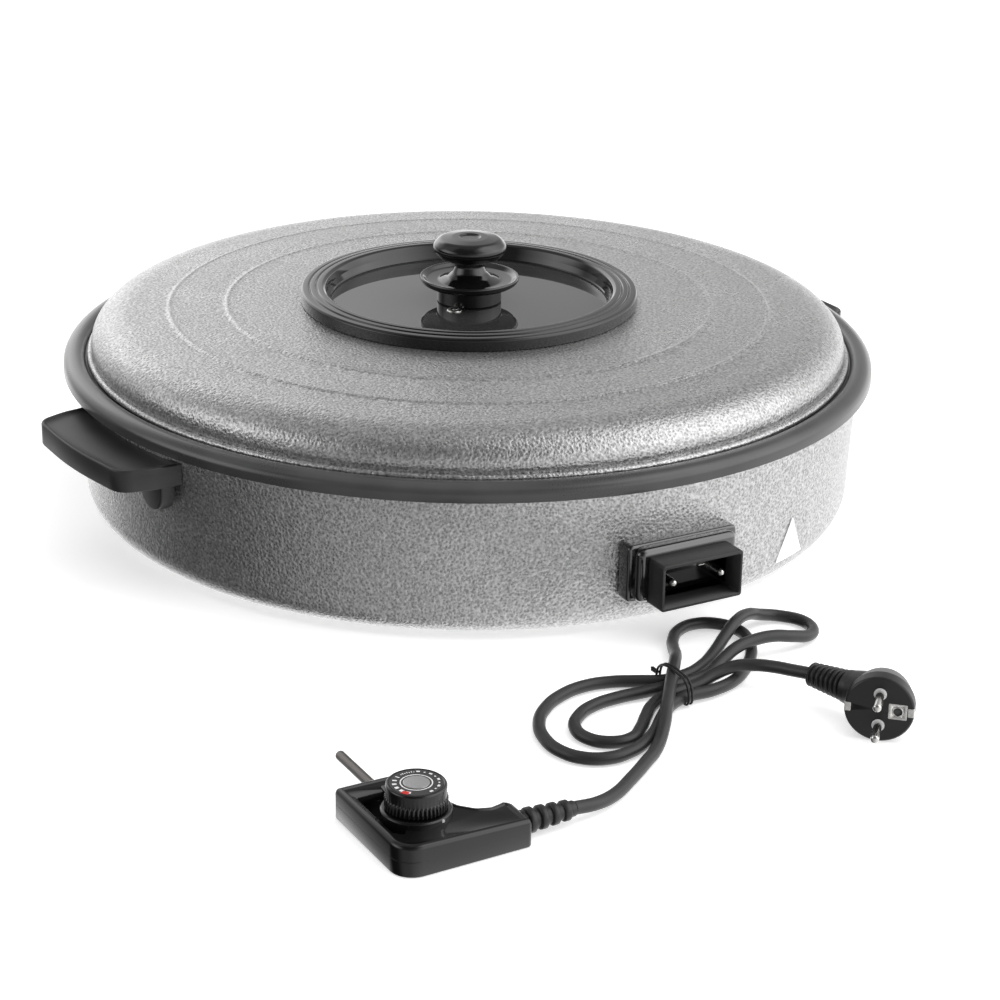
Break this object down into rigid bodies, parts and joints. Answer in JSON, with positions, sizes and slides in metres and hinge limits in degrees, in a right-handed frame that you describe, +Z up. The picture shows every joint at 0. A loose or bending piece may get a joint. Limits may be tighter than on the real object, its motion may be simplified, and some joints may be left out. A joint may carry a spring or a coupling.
{
  "type": "electric griddle",
  "caption": "Round electric griddle: domed lid with glass window and knob, coated pan in a sheet housing, side grips, power inlet and a plug-in thermostat lead.",
  "frame": {"origin": "on the table under the pan's axis, at the centre of the middle foot", "axes": "+Z up along the pan's axis, -Y out through the power inlet, +X to the right when the inlet faces the viewer"},
  "size_m": [0.5994, 0.7285, 0.1763],
  "materials": {
    "hammertone": "hammertone grey enamel",
    "coated_pan": "dark non-stick coating, satin",
    "bakelite": "black phenolic, satin to gloss",
    "heater_sheath": "heat-darkened steel tube",
    "plated_steel": "zinc plated",
    "nickel": "nickel plated",
    "probe_steel": "plain steel sheath",
    "guide_aluminium": "cast",
    "socket_brass": "plain",
    "wire_sleeving": "woven glass sleeving",
    "earth_insulation": "green and yellow insulation",
    "black_rubber": "black moulded rubber",
    "seal_silicone": "silicone seal",
    "smoked_glass": "tempered, smoke tinted",
    "white_label": "blank white label",
    "tie_plastic": "plastic coated wire",
    "dial_face": "printed plate"
  },
  "bodies": {
    "griddle": {"base_shell": "hammertone", "pan": "coated_pan", "heating_element": "heater_sheath", "element_clamps": "plated_steel", "probe_guide": "guide_aluminium", "inlet_housing": "bakelite", "inlet_pins": "nickel", "inlet_earth_clip": "nickel", "inlet_clamp_plate": "plated_steel", "inlet_screws": "plated_steel", "supply_wires": "wire_sleeving", "earth_wire": "earth_insulation", "standoffs": "plated_steel", "bottom_cover": "hammertone", "cover_screws": "plated_steel", "feet": "black_rubber", "handle_left": "bakelite", "handle_right": "bakelite", "handle_washers": "plated_steel", "handle_screws": "plated_steel", "triangle_label": "white_label"},
    "lid": {"lid_shell": "hammertone", "lid_glass": "smoked_glass", "window_ring": "bakelite", "window_clamp_ring": "bakelite", "window_gasket": "seal_silicone", "ring_screws": "plated_steel", "vent_eyelet": "nickel", "knob_base": "bakelite", "knob_cap": "bakelite", "knob_screw": "plated_steel", "knob_washers": "plated_steel"},
    "control_lead": {"control_lower": "bakelite", "control_upper": "bakelite", "control_screws": "plated_steel", "probe": "probe_steel", "contact_sockets": "socket_brass", "thermostat_frame": "plated_steel", "bimetal_blade": "socket_brass", "switch_contacts": "socket_brass", "lead_wires": "wire_sleeving", "cord_clamp": "plated_steel", "strain_relief": "black_rubber", "power_cord": "black_rubber", "twist_tie": "tie_plastic", "plug_body": "black_rubber", "plug_pins": "nickel", "plug_earth_contacts": "nickel"},
    "dial": {"dial": "bakelite", "dial_plate": "dial_face", "dial_spindle": "plated_steel"}
  },
  "joints": [
    {"name": "lid_lift", "type": "slide", "parent": "griddle", "child": "lid", "axis": [0, 0, 1], "range_m": [0, 0.25]},
    {"name": "control_lift", "type": "slide", "parent": "griddle", "child": "control_lead", "axis": [0, -0.8, 0.6], "range_m": [0, 0.25]},
    {"name": "dial_turn", "type": "hinge", "parent": "control_lead", "child": "dial", "pos_m": [-0.262, -0.4235, 0.03], "axis": [0, 0, -1], "range_deg": [0, 270]}
  ]
}
